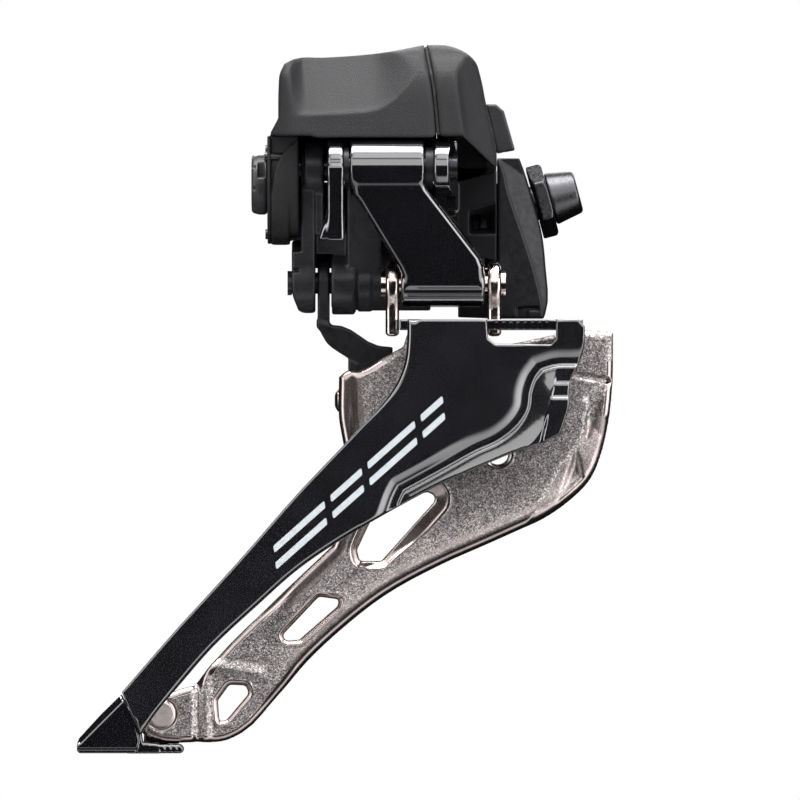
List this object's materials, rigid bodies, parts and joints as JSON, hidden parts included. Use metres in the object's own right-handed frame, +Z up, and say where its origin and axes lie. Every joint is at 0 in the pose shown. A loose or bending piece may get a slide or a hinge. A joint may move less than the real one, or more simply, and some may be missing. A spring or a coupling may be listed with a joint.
{
  "type": "front derailleur",
  "caption": "Motor-driven front derailleur for a double chainset, with a chain cage on a swinging parallelogram and a braze-on seat.",
  "frame": {"origin": "where the fixing bolt's axis meets the bracket's curved seat for the frame tab", "axes": "+X forward along the bicycle, +Y inboard towards the frame, +Z up"},
  "size_m": [0.0749, 0.0376, 0.0988],
  "materials": {
    "shell_plastic": "fine-grained moulded plastic",
    "cover_plastic": "fine-grained moulded plastic",
    "black_rubber": "matt seal rubber",
    "socket_plastic": "satin moulded plastic",
    "gloss_black": "gloss black",
    "satin_black": "satin black",
    "black_steel": "black plated, satin",
    "gunmetal": "turned, dark plated",
    "bright_steel": "ground",
    "polished_nickel": "polished, warm",
    "blasted_aluminium": "bead-blasted, warm grey",
    "bronze": "sintered",
    "gear_brass": "machined",
    "motor_steel": "drawn can",
    "board_green": "solder mask",
    "gold_contact": "plated contacts",
    "skid_plastic": "hard slide plastic"
  },
  "bodies": {
    "base": {"housing_main": "shell_plastic", "housing_cover": "cover_plastic", "housing_gasket": "black_rubber", "cover_screws": "gunmetal", "rear_block": "socket_plastic", "gear_case": "shell_plastic", "gear_case_lid": "cover_plastic", "case_screws": "gunmetal", "wire_port": "socket_plastic", "port_pins": "gold_contact", "shaft_seal": "black_rubber", "circuit_board": "board_green", "motor_can": "motor_steel", "motor_bearing": "bronze", "idler_axle": "bright_steel", "base_frame": "gloss_black", "base_bushes": "bronze", "outer_upper_shaft": "bright_steel", "thrust_washers": "bright_steel", "mount_bracket": "satin_black", "bracket_screws": "gunmetal"},
    "outer_link": {"outer_link": "gloss_black", "outer_link_bushes": "bronze"},
    "inner_link": {"inner_link": "satin_black", "inner_upper_shaft": "bright_steel", "inner_lower_pin": "gunmetal", "sector_gear": "gear_brass"},
    "idler": {"idler_gear": "gear_brass"},
    "rotor": {"motor_pinion": "gear_brass"},
    "cage": {"lug_left": "polished_nickel", "lug_right": "polished_nickel", "outer_lower_pin": "polished_nickel", "cage_bridge": "gloss_black", "cage_outer_plate": "gloss_black", "cage_inner_plate": "blasted_aluminium", "cage_arm": "black_steel", "arm_rivet": "black_steel", "tail_bridge": "skid_plastic", "tail_rivet": "blasted_aluminium"},
    "fixing_bolt": {"fixing_bolt": "gunmetal", "radius_washer": "gunmetal"},
    "support_bolt": {"support_bolt": "gunmetal"}
  },
  "joints": [
    {"name": "link_swing", "type": "hinge", "parent": "base", "child": "outer_link", "pos_m": [-0.02025, -0.0195, 0.0049], "axis": [-1, 0, 0], "range_deg": [0, 38]},
    {"name": "inner_link_swing", "type": "hinge", "parent": "base", "child": "inner_link", "pos_m": [-0.02, -0.01, 0.0051], "axis": [-1, 0, 0], "range_deg": [0, 38]},
    {"name": "cage_pivot", "type": "hinge", "parent": "outer_link", "child": "cage", "pos_m": [-0.0125, -0.01516, -0.0113], "axis": [-1, 0, 0], "range_deg": [-38, 0]},
    {"name": "idler_spin", "type": "hinge", "parent": "base", "child": "idler", "pos_m": [-0.0348, 0.00081, 0.00117], "axis": [-1, 0, 0], "range_deg": [-136.8, 0]},
    {"name": "motor_spin", "type": "hinge", "parent": "base", "child": "rotor", "pos_m": [-0.0339, 0.00142, 0.00814], "axis": [-1, 0, 0], "range_deg": [0, 246.24]},
    {"name": "fixing_bolt_slide", "type": "slide", "parent": "base", "child": "fixing_bolt", "axis": [0.9659, 0, 0.2588], "range_m": [0, 0.004]},
    {"name": "support_bolt_slide", "type": "slide", "parent": "base", "child": "support_bolt", "axis": [0, 1, 0], "range_m": [-0.0015, 0.003]}
  ],
  "couplings": [
    {"joint": "inner_link_swing", "follows": "link_swing", "ratio": 1},
    {"joint": "cage_pivot", "follows": "link_swing", "ratio": -1},
    {"joint": "idler_spin", "follows": "link_swing", "ratio": -3.6},
    {"joint": "motor_spin", "follows": "link_swing", "ratio": 6.48}
  ]
}
